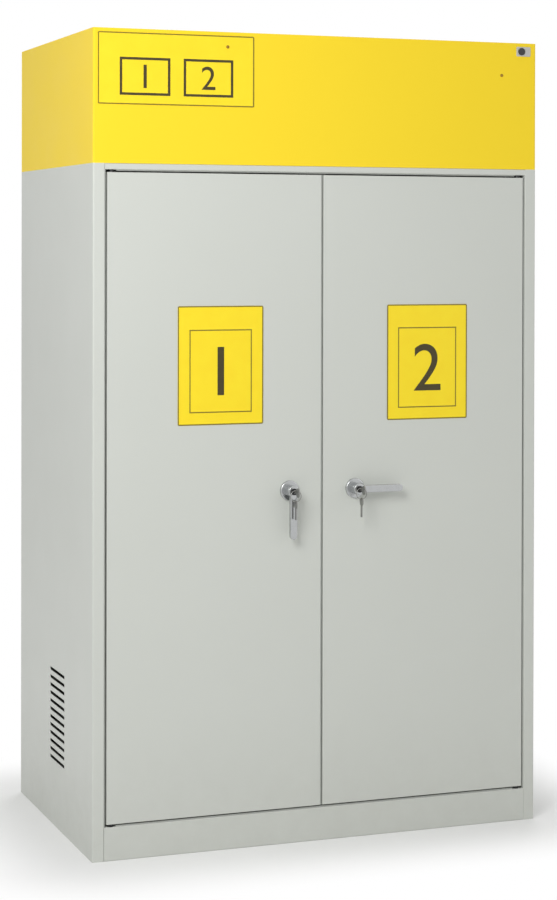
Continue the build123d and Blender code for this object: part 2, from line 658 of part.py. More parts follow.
def placed_rod(x, top):
    """A latch rod in its place: the upper one is the lower one turned half way round the hub."""
    shape = rod(top)
    turned = Rot(0, 180, 0) * shape if top else shape
    return Pos(x, ROD_Y, HUB_HEIGHT) * turned


def gear_case(x):
    """The case round the gear, screwed to the inside of the door and open at both ends."""
    inner_x = RACK_BACK + FACE_GAP
    outer_x = inner_x + CASE_WALL
    z = CASE_HEIGHT / 2
    outer = block((x - outer_x, x + outer_x), (CASE_FRONT, CASE_BACK), (HUB_HEIGHT - z, HUB_HEIGHT + z))
    inner = block(
        (x - inner_x, x + inner_x),
        (CASE_FRONT + CASE_WALL, CASE_BACK - CASE_WALL),
        (HUB_HEIGHT - z - OVERCUT, HUB_HEIGHT + z + OVERCUT),
    )
    neck = along_y(NECK_RADIUS + RUNNING, x, (CASE_FRONT - OVERCUT, ROD_Y), HUB_HEIGHT)
    tip = along_y(SPINDLE_TIP_RADIUS + RUNNING, x, (ROD_Y, CASE_BACK + OVERCUT), HUB_HEIGHT)
    return outer - inner - neck - tip


def rod_guides(x):
    """Four bored blocks on the inside of the door that keep the rods straight."""
    blocks = []
    middle_top = (HUB_HEIGHT + DOOR_TOP) / 2
    middle_bottom = (HUB_HEIGHT + DOOR_BOTTOM) / 2
    places = [
        (-1, DOOR_TOP - GUIDE_FROM_END),
        (-1, middle_top),
        (1, middle_bottom),
        (1, DOOR_BOTTOM + GUIDE_FROM_END),
    ]
    for way, z in places:
        rod_x = x + way * ROD_OFFSET
        half = GUIDE_HEIGHT / 2
        body = block(
            (rod_x - GUIDE_WIDTH / 2, rod_x + GUIDE_WIDTH / 2),
            (SKIN_BACK, ROD_Y + ROD_RADIUS + CASE_WALL),
            (z - half, z + half),
        )
        reach = (z - half - OVERCUT, z + half + OVERCUT)
        blocks.append(body - along_z(ROD_RADIUS + RUNNING, rod_x, ROD_Y, reach))
    return blocks


# ---- hood, fan and filters ----
def hood_shell():
    """The yellow front and sides, folded from one sheet, with holes for the switch and a screw."""
    line = [
        (-SIDE + HALF, BACK),
        (-SIDE + HALF, FRONT + HALF),
        (SIDE - HALF, FRONT + HALF),
        (SIDE - HALF, BACK),
    ]
    wall = extrude(strip(line, [CORNER_RADIUS - HALF, CORNER_RADIUS - HALF]), amount=HOOD_HEIGHT)
    reach = (FRONT - OVERCUT, FRONT + SHEET + OVERCUT)
    hole = along_y(SWITCH_RADIUS + SWITCH_WALL, SWITCH_X, reach, SWITCH_Z)
    screw = along_y(SCREW_SHANK_RADIUS, SIDE - FRONT_SCREW_FROM_SIDE, reach, HEIGHT - FRONT_SCREW_FROM_TOP)
    return Pos(0, 0, HOOD_Z) * wall - hole - screw


def hood_roof():
    """The top sheet, with edges turned down inside the hood and a hole for the duct collar."""
    y_front = FRONT + SHEET
    outer = block((-INSIDE_X, INSIDE_X), (y_front, INSIDE_BACK), (HEIGHT - ROOF_FLANGE, HEIGHT))
    outer = fillet(outer.edges().filter_by(Axis.Z).group_by(Axis.Y)[0], CORNER_RADIUS - SHEET)
    inner = block(
        (-INSIDE_X + SHEET, INSIDE_X - SHEET),
        (y_front + SHEET, INSIDE_BACK - SHEET),
        (HEIGHT - ROOF_FLANGE - OVERCUT, ROOF_UNDER),
    )
    return outer - inner - along_z(COLLAR_RADIUS, 0, COLLAR_Y, (ROOF_UNDER - OVERCUT, HEIGHT + OVERCUT))


def back_screw_places():
    """Middles of the screws that hold the hood's back, as x and z."""
    low = HOOD_Z + BACK_SCREW_INSET
    high = HEIGHT - BACK_SCREW_INSET
    edge = INSIDE_X - BACK_SCREW_INSET
    return [(x, z) for x in (-edge, 0, edge) for z in (low, high)]


def hood_back():
    """The hood's back cover, with the mains inlet's cut-out and its screw holes."""
    sheet = block((-INSIDE_X, INSIDE_X), (INSIDE_BACK, BACK), (HOOD_Z, HEIGHT - ROOF_FLANGE))
    reach = (INSIDE_BACK - OVERCUT, BACK + OVERCUT)
    holes = [along_y(SCREW_SHANK_RADIUS, x, reach, z) for x, z in back_screw_places()]
    wide = SOCKET_WIDTH + 2 * INLET_WALL
    high = SOCKET_HEIGHT + 2 * INLET_WALL
    cut = Pos(INLET_X, BACK, INLET_Z) * Box(wide, 4 * SHEET, high)
    return sheet - holes - cut


def mains_inlet():
    """The inlet that takes a lead: a flange outside, a socket inside and three contact blades."""
    flange = Pos(0, INLET_WALL / 2, 0) * Box(INLET_FLANGE_WIDTH, INLET_WALL, INLET_FLANGE_HEIGHT)
    x = SOCKET_WIDTH / 2
    z = SOCKET_HEIGHT / 2
    body = block((-x - INLET_WALL, x + INLET_WALL), (-INLET_DEPTH, 0), (-z - INLET_WALL, z + INLET_WALL))
    foot = INLET_WALL - INLET_DEPTH
    cavity = block((-x, x), (foot, INLET_WALL + OVERCUT), (-z, z))
    blade = Box(CONTACT_THICKNESS, CONTACT_LENGTH, CONTACT_HEIGHT)
    blades = [Pos(i * CONTACT_PITCH, foot + CONTACT_LENGTH / 2, 0) * blade for i in (-1, 0, 1)]
    return Pos(INLET_X, BACK, INLET_Z) * (flange + body - cavity + blades)


def collar():
    """The round spigot for an exhaust duct, with its flange on the roof."""
    tube = along_z(COLLAR_RADIUS, 0, COLLAR_Y, (ROOF_UNDER, HEIGHT + COLLAR_HEIGHT))
    flange = along_z(COLLAR_RADIUS + COLLAR_FLANGE, 0, COLLAR_Y, (HEIGHT, HEIGHT + SHEET))
    bore = along_z(COLLAR_RADIUS - SHEET, 0, COLLAR_Y, (ROOF_UNDER - OVERCUT, HEIGHT + COLLAR_HEIGHT + OVERCUT))
    return tube + flange - bore


def filter_frame(side):
    """A frame over a compartment's air hole, with a ledge that carries the carbon bed."""
    x = side * WIDTH / 4
    half = FILTER_SIZE / 2
    inner = half - SHEET
    hole = inner - FILTER_LEDGE
    outer = block((x - half, x + half), (-half, half), (HOOD_Z, HOOD_Z + FILTER_HEIGHT))
    space = block((x - inner, x + inner), (-inner, inner), (HOOD_Z + SHEET, HOOD_Z + FILTER_HEIGHT + OVERCUT))
    window = block((x - hole, x + hole), (-hole, hole), (HOOD_Z - OVERCUT, HOOD_Z + 2 * SHEET))
    return outer - space - window


def carbon_bed(side):
    """A block of carbon granules in its net, on the filter frame's ledge."""
    x = side * WIDTH / 4
    half = FILTER_SIZE / 2 - SHEET - FILTER_GAP
    bottom = HOOD_Z + SHEET
    return block((x - half, x + half), (-half, half), (bottom, bottom + BED_HEIGHT))


def scroll_section(inset, top):
    """The fan housing's outline: a round drum with a straight duct that rises from its back."""
    reach = top - FAN_Z
    duct = Pos(SCROLL_RADIUS - DUCT_WIDTH / 2, reach / 2) * Rectangle(DUCT_WIDTH - 2 * inset, reach)
    return Circle(SCROLL_RADIUS - inset) + duct


def fan_scroll():
    """The fan's housing, with an inlet on the right, the motor's hole on the left and a duct up."""
    outer = extrude(Plane.YZ * scroll_section(0, ROOF_UNDER), amount=SCROLL_WIDTH / 2, both=True)
    inner = extrude(Plane.YZ * scroll_section(SHEET, HEIGHT), amount=SCROLL_WIDTH / 2 - SHEET, both=True)
    inlet = along_x(INLET_RADIUS, (0, SCROLL_WIDTH), 0, 0)
    hole = along_x(MOTOR_HOLE_RADIUS, (-SCROLL_WIDTH, 0), 0, 0)
    return Pos(0, FAN_Y, FAN_Z) * (outer - inner - inlet - hole)


def impeller():
    """The fan wheel: a disc, a hub, a ring of blades and a front ring."""
    x = IMPELLER_WIDTH / 2
    inner = IMPELLER_RADIUS - BLADE_CHORD
    disc = along_x(IMPELLER_RADIUS, (-x, -x + DISC_THICKNESS), 0, 0)
    ring = along_x(IMPELLER_RADIUS, (x - DISC_THICKNESS, x), 0, 0)
    ring -= along_x(inner, (x - 2 * DISC_THICKNESS, x + OVERCUT), 0, 0)
    hub = along_x(IMPELLER_HUB_RADIUS, (-x, 0), 0, 0)
    blade = Rot(BLADE_ANGLE, 0, 0) * Box(IMPELLER_WIDTH - DISC_THICKNESS, BLADE_CHORD, BLADE_THICKNESS)
    place = IMPELLER_RADIUS - BLADE_CHORD / 2
    wheel = disc + hub + ring
    wheel += [Rot(360 * i / BLADE_COUNT, 0, 0) * Pos(0, place, 0) * blade for i in range(BLADE_COUNT)]
    wheel -= along_x(SHAFT_RADIUS, (-x - OVERCUT, OVERCUT), 0, 0)
    return Pos(0, FAN_Y, FAN_Z) * wheel


def motor_shaft():
    """The shaft that carries the fan wheel and turns inside the motor."""
    return along_x(SHAFT_RADIUS, (-SCROLL_WIDTH / 2 - MOTOR_LENGTH / 2, 0), FAN_Y, FAN_Z)


def motor():
    """The fan's motor, bolted to the left of the housing by its flange."""
    face = -SCROLL_WIDTH / 2
    can = along_x(MOTOR_RADIUS, (face - MOTOR_LENGTH, face), FAN_Y, FAN_Z)
    can = fillet(can.faces().sort_by(Axis.X)[0].edges(), MOTOR_EDGE_RADIUS)
    flange = along_x(MOTOR_FLANGE_RADIUS, (face - MOTOR_FLANGE, face), FAN_Y, FAN_Z)
    bore = along_x(SHAFT_RADIUS + RUNNING, (face - MOTOR_LENGTH / 2, face + OVERCUT), FAN_Y, FAN_Z)
    return can + flange - bore


def fan_cradle():
    """The bracket on the ceiling panel that holds the housing by its two sides."""
    y = (FAN_Y - CRADLE_LENGTH / 2, FAN_Y + CRADLE_LENGTH / 2)
    inner = SCROLL_WIDTH / 2
    outer = inner + CRADLE_THICKNESS
    plate = block((-outer, outer), y, (HOOD_Z, HOOD_Z + CRADLE_THICKNESS))
    top = FAN_Z - MOTOR_FLANGE_RADIUS - CRADLE_THICKNESS
    cheeks = [block((s * inner, s * outer), y, (HOOD_Z, top)) for s in (-1, 1)]
    return plate + cheeks


# ---- switch and screws ----
def switch_bezel():
    """The switch's oblong plate and its barrel, fixed in the hood's front."""
    face = FRONT - SWITCH_PLATE_THICKNESS
    middle = SWITCH_X + SWITCH_PLATE_SHIFT
    across = (middle - SWITCH_PLATE_WIDTH / 2, middle + SWITCH_PLATE_WIDTH / 2)
    upward = (SWITCH_Z - SWITCH_PLATE_HEIGHT / 2, SWITCH_Z + SWITCH_PLATE_HEIGHT / 2)
    plate = block(across, (face, FRONT), upward)
    plate = fillet(plate.edges().filter_by(Axis.Y), SWITCH_PLATE_RADIUS)
    plate = fillet(plate.faces().sort_by(Axis.Y)[0].edges(), SWITCH_EDGE_RADIUS)
    body = along_y(SWITCH_RADIUS + SWITCH_WALL, SWITCH_X, (FRONT, FRONT + SWITCH_DEPTH), SWITCH_Z)
    reach = (face - OVERCUT, FRONT + SWITCH_DEPTH - SWITCH_END_WALL)
    return plate + body - along_y(SWITCH_RADIUS + SWITCH_CLEARANCE, SWITCH_X, reach, SWITCH_Z)


def switch_button():
    """The button that is pressed to start or stop the fan."""
    travel = SWITCH_TRAVEL + FACE_GAP
    front = FRONT - SWITCH_PLATE_THICKNESS - travel
    back = FRONT + SWITCH_DEPTH - SWITCH_END_WALL - travel
    button = along_y(SWITCH_RADIUS, SWITCH_X, (front, back), SWITCH_Z)
    return fillet(button.faces().sort_by(Axis.Y)[0].edges(), SWITCH_EDGE_RADIUS)


def screw(x, y, z, out):
    """A round-headed screw along Y, whose head stands out at -Y or +Y."""
    head = along_y(SCREW_RADIUS, x, (y, y + out * SCREW_HEAD), z)
    end = head.faces().sort_by(Axis.Y)[0 if out < 0 else -1]
    head = fillet(end.edges(), SCREW_HEAD / 2)
    return head + along_y(SCREW_SHANK_RADIUS, x, (y, y - out * SCREW_SHANK), z)


def hood_screws():
    """One screw at the hood's front and six at its back."""
    front = screw(SIDE - FRONT_SCREW_FROM_SIDE, FRONT, HEIGHT - FRONT_SCREW_FROM_TOP, -1)
    return [front] + [screw(x, BACK, z, 1) for x, z in back_screw_places()]


# ---- writing every node ----
def write_body():
    """Body, frame, partition and shelves."""
    for name, side in SIDES.items():
        save(name + "_side_panel", side_panel(side))
        save(name + "_shelves", *[tray(side, SHELF_Y, z, SHELF_LIP) for z in SHELF_Z])
    save("back_panel", back_panel())
    save("plinth_rail", frame_rail(0, PLINTH_HEIGHT) - rail_holes(PLINTH_HEIGHT, 1))
    save("header_rail", frame_rail(OPEN_TOP, HOOD_Z) - rail_holes(OPEN_TOP, -1))
    save("floor_panel", inner_sheet(PLINTH_HEIGHT, []))
    reach = (HOOD_Z - SHEET - OVERCUT, HOOD_Z + OVERCUT)
    outlets = [along_z(OUTLET_RADIUS, s * WIDTH / 4, 0, reach) for s in (-1, 1)]
    save("ceiling_panel", inner_sheet(HOOD_Z, outlets))
    save("plinth_cross_rail", cross_rail())
    save("mullion", mullion())
    save("centre_partition", partition())
    save("spill_trays", *[tray(s, SHELF_Y, PLINTH_HEIGHT, SPILL_HEIGHT) for s in (-1, 1)])
    save("shelf_uprights", *uprights())
    save("shelf_clips", *clips())
    ends = [(side, top) for side in (-1, 1) for top in (True, False)]
    save("hinge_pins", *[hinge_pin(side, top) for side, top in ends])
    save("strike_plates", *[strike(side, top) for side, top in ends])


def write_hood():
    """Hood, fan, filters, inlet and switch."""
    save("hood_shell", hood_shell())
    save("hood_roof", hood_roof())
    save("hood_back_cover", hood_back())
    save("duct_collar", collar())
    save("filter_frames", *[filter_frame(side) for side in (-1, 1)])
    save("carbon_beds", *[carbon_bed(side) for side in (-1, 1)])
    save("fan_housing", fan_scroll())
    save("fan_motor", motor())
    save("fan_wheel", impeller(), motor_shaft())
    save("fan_cradle", fan_cradle())
    save("mains_inlet", mains_inlet())
    save("switch_bezel", switch_bezel())
    save("switch_button", switch_button())
    save("hood_screws", *hood_screws())
    x = -SIDE + HOOD_SIGN_FROM_SIDE + HOOD_SIGN_WIDTH / 2
    z = HEIGHT - HOOD_SIGN_FROM_TOP - HOOD_SIGN_HEIGHT / 2
    save("hood_sign", sign(HOOD_SIGN_WIDTH, HOOD_SIGN_HEIGHT, x, z))


def write_door(name, side, sign_shift, angle):
    """One door with its sign, handle, lock, keys and latch."""
    x = side * HUB_FROM_CENTRE
    save(name + "_door_skin", door_skin(side))
    save(name + "_door_liner", door_liner(side))
    save(name + "_door_bushes", *[hinge_bush(side, top) for top in (True, False)])
    sign_x = side * DOOR_MIDDLE_X + sign_shift
    save(name + "_door_sign", sign(DOOR_SIGN_WIDTH, DOOR_SIGN_HEIGHT, sign_x, DOOR_SIGN_Z))
    save(name + "_rose", rose(x))
    save(name + "_gear_case", gear_case(x))
    save(name + "_rod_guides", *rod_guides(x))
    save(name + "_lever", lever(x, angle))
    save(name + "_pinion", pinion(x, angle))
    save(name + "_lock_plug", lock_plug(x))
    save(name + "_key", key(x))
    save(name + "_spare_key", key_ring(x), spare_key(x))
    save(name + "_upper_rod", placed_rod(x, True))
    save(name + "_lower_rod", placed_rod(x, False))


os.makedirs("parts", exist_ok=True)
write_body()
write_hood()
write_door("left", -1, LEFT_SIGN_SHIFT, -90)
write_door("right", 1, RIGHT_SIGN_SHIFT, 0)
print("pinion pitch radius", PITCH_RADIUS, "rod travel", round(ROD_TRAVEL, 3))
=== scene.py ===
# %% [markdown]
# # A ventilated cabinet for acids and bases
#
# This lesson dresses a two-door sheet-steel cabinet. Its folded panels, doors, handles,
# latch rods, shelves and fan are already built at their real size, as a fixed frame of
# named nodes. Blender adds what the eye reads: powder coat with its orange peel, bright
# metal, printed plates, foam seals, cross-headed screws and the plain studio round it all.

import json
from math import cos, pi, radians, sin

import bmesh
import bpy
import numpy as np
from mathutils import Matrix, Vector


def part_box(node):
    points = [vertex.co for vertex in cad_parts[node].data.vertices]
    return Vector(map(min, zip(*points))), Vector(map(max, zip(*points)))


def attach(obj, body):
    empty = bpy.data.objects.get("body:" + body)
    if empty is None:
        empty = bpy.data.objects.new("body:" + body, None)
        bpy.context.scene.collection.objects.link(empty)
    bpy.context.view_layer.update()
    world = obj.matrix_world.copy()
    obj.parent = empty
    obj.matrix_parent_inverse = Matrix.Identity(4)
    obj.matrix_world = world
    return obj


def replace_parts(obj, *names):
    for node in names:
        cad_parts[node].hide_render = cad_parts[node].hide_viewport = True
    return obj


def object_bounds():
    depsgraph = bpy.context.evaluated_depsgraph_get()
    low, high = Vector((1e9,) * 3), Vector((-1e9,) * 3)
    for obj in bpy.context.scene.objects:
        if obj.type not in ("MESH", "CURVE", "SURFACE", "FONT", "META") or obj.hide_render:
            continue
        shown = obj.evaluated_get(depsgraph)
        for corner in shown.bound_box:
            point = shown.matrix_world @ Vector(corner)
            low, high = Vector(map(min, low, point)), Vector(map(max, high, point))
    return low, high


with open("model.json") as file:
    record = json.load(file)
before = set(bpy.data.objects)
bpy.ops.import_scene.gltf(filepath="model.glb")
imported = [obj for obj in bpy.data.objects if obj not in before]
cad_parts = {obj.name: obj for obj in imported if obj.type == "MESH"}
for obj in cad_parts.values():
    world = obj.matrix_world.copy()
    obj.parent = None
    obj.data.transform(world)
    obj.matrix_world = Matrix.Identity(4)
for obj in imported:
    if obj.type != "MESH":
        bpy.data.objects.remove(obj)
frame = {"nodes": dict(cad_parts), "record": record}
nodes = frame["nodes"]
cad_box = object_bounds()
MM = 0.001

# %% [markdown]
# ## The camera
#
# The photographer stood to the left of the cabinet, about five metres away, with the eye
# at 1.44 m. The verticals of the cabinet stay vertical, so the camera looks level and the
# picture is shifted downwards instead of the camera being tilted. A long lens keeps the
# perspective mild. The camera's matrix is built from its three directions, which is
# clearer than three angles when the numbers come from sight lines.

# %% Camera
EYE = Vector((-1.9256, -5.2228, 1.4413))
YAW = 0.356                # radians from +Y towards +X
PITCH = -0.007             # radians, below the horizon
ROLL = 0.002
FOCAL_PX = 2163.0          # focal length in pixels of a picture 900 high
PICTURE_HEIGHT = 900.0
SENSOR = 36.0              # in millimetres
SHIFT_DOWN = 0.21          # in picture heights
CLIP_END = 100.0


def camera_matrix(eye, yaw, pitch, roll):
    """Right, up and backward directions as columns. Forward is +Y turned by the yaw and tipped
    by the pitch, right is level, and the roll turns right towards up."""
    forward = Vector((sin(yaw) * cos(pitch), cos(yaw) * cos(pitch), sin(pitch)))
    level = Vector((cos(yaw), -sin(yaw), 0.0))
    above = level.cross(forward)
    right = level * cos(roll) + above * sin(roll)
    up = above * cos(roll) - level * sin(roll)
    turn = Matrix((right, up, -forward)).transposed().to_4x4()
    return Matrix.Translation(eye) @ turn


lens = bpy.data.cameras.new("studio_camera")
lens.sensor_width = SENSOR
lens.lens = FOCAL_PX / PICTURE_HEIGHT * SENSOR
lens.shift_y = -SHIFT_DOWN
lens.clip_end = CLIP_END
camera = bpy.data.objects.new("studio_camera", lens)
camera.matrix_world = camera_matrix(EYE, YAW, PITCH, ROLL)
bpy.context.scene.collection.objects.link(camera)
bpy.context.scene.camera = camera
print("lens", round(lens.lens, 1), "mm")

# %% [markdown]
# ## Shader maths as Python
#
# A procedural finish is arithmetic on textures. Wrapping a socket in a small class lets the
# arithmetic be written as it is thought: `1 - mask` or `noise * 0.2 + 0.4`. Nearly every
# node comes from one method, which sets the node's own settings first and then its sockets.

# %% Colours and values
def srgb(r, g, b):
    """A colour given as a screen shows it, 0 to 255, as the linear colour that shaders use. The
    darkest values are divided by 12.92, and the others follow a power of 2.4."""
    screen = np.array([r, g, b]) / 255.0
    linear = np.where(screen <= 0.04045, screen / 12.92, ((screen + 0.055) / 1.055) ** 2.4)
    return (*[float(value) for value in linear], 1.0)


class Value:
    """A number that varies over a surface: an output socket with arithmetic."""

    def __init__(self, shader, socket):
        self.shader = shader
        self.socket = socket

    def _math(self, operation, first, second=None):
        values = {0: first} if second is None else {0: first, 1: second}
        return self.shader.node("ShaderNodeMath", {"operation": operation}, values)

    def __add__(self, other):
        return self._math("ADD", self, other)

    def __radd__(self, other):
        return self._math("ADD", other, self)

    def __sub__(self, other):
        return self._math("SUBTRACT", self, other)

    def __rsub__(self, other):
        return self._math("SUBTRACT", other, self)

    def __mul__(self, other):
        return self._math("MULTIPLY", self, other)

    def __rmul__(self, other):
        return self._math("MULTIPLY", other, self)

    def __pow__(self, other):
        return self._math("POWER", self, other)

    def __gt__(self, other):
        return self._math("GREATER_THAN", self, other)

    def __lt__(self, other):
        return self._math("LESS_THAN", self, other)

    def abs(self):
        """The value without its sign."""
        return self._math("ABSOLUTE", self)

    def larger(self, other):
        """The larger of the two values."""
        return self._math("MAXIMUM", self, other)

    def smaller(self, other):
        """The smaller of the two values."""
        return self._math("MINIMUM", self, other)


print("middle grey is", round(srgb(128, 128, 128)[0], 3))

# %% Shader helpers
class Shader:
    """One material, built as a Principled surface that the cells below feed."""

    def __init__(self, name, **constants):
        self.material = bpy.data.materials.new(name)
        self.material.use_nodes = True
        self.tree = self.material.node_tree
        self.surface = self.tree.nodes["Principled BSDF"]
        self.output = self.tree.nodes["Material Output"]
        for socket, value in constants.items():
            self.surface.inputs[socket.replace("_", " ")].default_value = value
        self.place = self.node("ShaderNodeTexCoord", {}, {}, "Object")

    def node(self, kind, settings, values, output=0):
        """Adds a node, sets its settings, fills its sockets and returns one output as a Value."""
        made = self.tree.nodes.new(kind)
        for key, value in settings.items():
            setattr(made, key, value)
        for key, value in values.items():
            if isinstance(value, Value):
                self.tree.links.new(value.socket, made.inputs[key])
            else:
                made.inputs[key].default_value = value
        return Value(self, made.outputs[output])

    def feed(self, socket, value):
        """Links a varying value to one of the surface's sockets."""
        self.tree.links.new(value.socket, self.surface.inputs[socket])

    def noise(self, scale, detail=2.0, roughness=0.5, place=None):
        """Fractal noise from 0 to 1, with so many features to the metre."""
        values = {
            "Vector": place or self.place,
            "Scale": scale,
            "Detail": detail,
            "Roughness": roughness,
        }
        return self.node("ShaderNodeTexNoise", {}, values)

    def stretched(self, scale):
        """Object coordinates stretched by a factor on each axis, for brushed or drawn metal."""
        return self.node("ShaderNodeMapping", {}, {"Vector": self.place, "Scale": scale})

    def axes(self):
        """The object coordinates as three separate values, in metres."""
        split = self.tree.nodes.new("ShaderNodeSeparateXYZ")
        self.tree.links.new(self.place.socket, split.inputs[0])
        return [Value(self, output) for output in split.outputs]

    def step(self, value, low, high):
        """A smooth change from 0 to 1 while the value goes from low to high."""
        settings = {"interpolation_type": "SMOOTHSTEP"}
        return self.node("ShaderNodeMapRange", settings, {"Value": value, 1: low, 2: high})

    def grey(self, colour):
        """A colour's brightness as one number."""
        return self.node("ShaderNodeRGBToBW", {}, {"Color": colour})

    def mix(self, factor, first, second):
        """The first colour where the factor is 0 and the second where it is 1."""
        settings = {"data_type": "RGBA"}
        return self.node("ShaderNodeMix", settings, {0: factor, 6: first, 7: second}, 2)

    def bump(self, height, strength, distance, below=None):
        """Turns a height, in parts of the distance, into a normal; below is a normal to add to."""
        values = {"Height": height, "Strength": strength, "Distance": distance}
        if below is not None:
            values["Normal"] = below
        return self.node("ShaderNodeBump", {}, values)


print("shader helpers ready")

# %% [markdown]
# ## Powder coat
#
# The cabinet's steel is baked with powder paint. Close up, its skin has an orange peel about
# a millimetre wide, because the melted grains never level fully. From a step away the sheet
# itself shows: a wide panel is never quite flat, so its reflection wanders. A little dust
# settles low down. A picture of paint could be wrapped round the panels, but it would have
# seams and repeat itself. Noise in object coordinates does neither, and one function with
# noise at different scales makes the grey and the yellow.

# %% Powder coat
DRIFT_PER_METRE = 1.7      # slow changes of tone
GRAIN_PER_METRE = 2600.0   # single melted grains
PEEL_PER_METRE = 620.0
PEEL_DEPTH = 0.18 * MM
WAVES_PER_METRE = 2.3      # the sheet's own unevenness
WAVE_DEPTH = 0.6 * MM
DUST_REACH = 0.35          # metres above the floor
DUST = srgb(150, 146, 136)


def powder_coat(name, colour, shade, roughness, gloss=0.5):
    """Paint whose colour drifts a little towards a shade, with orange peel over a wavy sheet."""
    coat = Shader(name, Specular_IOR_Level=gloss)
    drift = coat.noise(DRIFT_PER_METRE, 3.0)
    grain = coat.noise(GRAIN_PER_METRE, 1.0)
    low = 1 - coat.step(coat.axes()[2], 0.0, DUST_REACH)
    dust = low * coat.noise(22.0, 5.0, 0.65) * 0.55
    tone = coat.mix(drift * 0.55 + grain * 0.25, colour, shade)
    coat.feed("Base Color", coat.mix(dust * 0.35, tone, DUST))
    coat.feed("Roughness", coat.noise(9.0, 4.0) * 0.12 + dust * 0.2 + (roughness - 0.06))
    waves = coat.bump(coat.noise(WAVES_PER_METRE, 0.0), 1.0, WAVE_DEPTH)
    peel = coat.bump(coat.noise(PEEL_PER_METRE, 2.0), 0.22, PEEL_DEPTH, waves)
    coat.feed("Normal", peel)
    return coat.material


GREY = powder_coat("grey_powder_coat", srgb(208, 211, 205), srgb(198, 201, 194), 0.42)
INSIDE_GREY = powder_coat("inner_powder_coat", srgb(200, 202, 197), srgb(190, 193, 187), 0.5)
YELLOW = powder_coat("yellow_powder_coat", srgb(253, 222, 50), srgb(249, 215, 42), 0.46, 0.16)
print("paints", GREY.name, YELLOW.name)

# %% [markdown]
# ## Bright and plated metals
#
# Chrome is a mirror with a faint haze and hairline scratches. Drawn steel and rolled sheet
# carry lines along the direction in which they were worked. The lines could be painted in
# a picture, but noise stretched along one axis follows a piece without unwrapping it.
# Hot-dip zinc freezes into spangles, which a cell texture gives: each cell is one crystal
# with its own brightness. The keys are dull nickel, and the faces of the locks are
# blackened: partly their finish, partly painted shade for the dark round the lock hubs.

# %% Metals
SPANGLES_PER_METRE = 130.0
LINE_DEPTH = 0.1 * MM
SPANGLE_DEPTH = 0.2 * MM


def chrome():
    """Satin chrome: a grey mirror with hairline scratches and a slight change of haze."""
    plate = Shader("chrome_plate", Metallic=1.0)
    haze = plate.noise(60.0, 3.0)
    plate.feed("Base Color", plate.mix(haze * 0.6, srgb(186, 188, 188), srgb(164, 166, 167)))
    lines = plate.noise(40.0, 2.0, 0.6, plate.stretched((60.0, 60.0, 3.0)))
    plate.feed("Roughness", haze * 0.1 + lines * 0.08 + 0.1)
    plate.feed("Normal", plate.bump(lines, 0.05, LINE_DEPTH))
    return plate.material


def drawn_steel(name, colour, shade, roughness, stretch):
    """Metal with working lines along the axis whose stretch is small, or with specks where the
    stretch is the same on all three."""
    metal = Shader(name, Metallic=1.0)
    lines = metal.noise(30.0, 3.0, 0.6, metal.stretched(stretch))
    cloud = metal.noise(35.0, 3.0)
    metal.feed("Base Color", metal.mix(lines * 0.5 + cloud * 0.4, colour, shade))
    metal.feed("Roughness", lines * 0.14 + cloud * 0.08 + (roughness - 0.1))
    metal.feed("Normal", metal.bump(lines, 0.12, LINE_DEPTH))
    return metal.material


def zinc():
    """Galvanised sheet: crystals 6 to 10 mm across, each a little lighter or darker."""
    sheet = Shader("zinc_spangle", Metallic=1.0)
    cells = {"Vector": sheet.place, "Scale": SPANGLES_PER_METRE}
    bright = sheet.grey(sheet.node("ShaderNodeTexVoronoi", {}, cells, "Color"))
    cloud = sheet.noise(14.0, 3.0)
    tone = bright * 0.7 + cloud * 0.3
    sheet.feed("Base Color", sheet.mix(tone, srgb(178, 181, 184), srgb(148, 152, 156)))
    sheet.feed("Roughness", bright * 0.16 + cloud * 0.1 + 0.42)
    sheet.feed("Normal", sheet.bump(bright, 0.08, SPANGLE_DEPTH))
    return sheet.material


LONG_LINES = (40.0, 40.0, 1.5)
SHORT_LINES = (40.0, 40.0, 3.0)
SHEET_LINES = (30.0, 4.0, 4.0)
FINE_SPECKS = (40.0, 40.0, 40.0)
SPECKS = (30.0, 30.0, 30.0)
ALLOY, ALLOY_SHADE = srgb(214, 215, 216), srgb(188, 190, 192)

CHROME = chrome()
STEEL = drawn_steel("drawn_steel", srgb(188, 189, 190), srgb(158, 160, 162), 0.32, LONG_LINES)
SCREW_ZINC = drawn_steel("yellow_zinc", srgb(176, 140, 62), srgb(146, 112, 52), 0.42, SPECKS)
BLACK_STEEL_AND_PAINTED_SHADE = drawn_steel("phosphated_steel_and_painted_shade", srgb(62, 62, 63), srgb(44, 44, 45), 0.5, SHORT_LINES)
KEY_NICKEL = drawn_steel("key_nickel", srgb(158, 158, 155), srgb(128, 128, 126), 0.3, FINE_SPECKS)
ALUMINIUM = drawn_steel("pressed_aluminium", ALLOY, ALLOY_SHADE, 0.4, SHEET_LINES)
ZINC = zinc()
print("metals", CHROME.name, STEEL.name, BLACK_STEEL_AND_PAINTED_SHADE.name, ALUMINIUM.name, ZINC.name)

# %% [markdown]
# ## Moulded and cast surfaces
#
# Black plastic has a fine spark-eroded grain, and so has the skin of the foam seals. The
# motor's enamel is the same coat as the cabinet's, only darker. The filter is a bed of
# crushed carbon. Its grains could be modelled one by one, but there are many thousands, so
# a cell texture pushed up as bumps stands for them.

# %% Plastics, enamel and carbon
MOULD_GRAIN_PER_METRE = 3200.0
MOULD_GRAIN_DEPTH = 0.08 * MM
GRANULES_PER_METRE = 290.0
GRANULE_DEPTH = 1.8 * MM


def moulded(name, colour, shade, roughness):
    """Moulded plastic with a fine grain and a slight bloom."""
    plastic = Shader(name)
    bloom = plastic.noise(45.0, 3.0)
    grain = plastic.noise(MOULD_GRAIN_PER_METRE, 1.0)
    plastic.feed("Base Color", plastic.mix(bloom * 0.7 + grain * 0.3, colour, shade))
    plastic.feed("Roughness", bloom * 0.12 + (roughness - 0.06))
    plastic.feed("Normal", plastic.bump(grain, 0.25, MOULD_GRAIN_DEPTH))
    return plastic.material


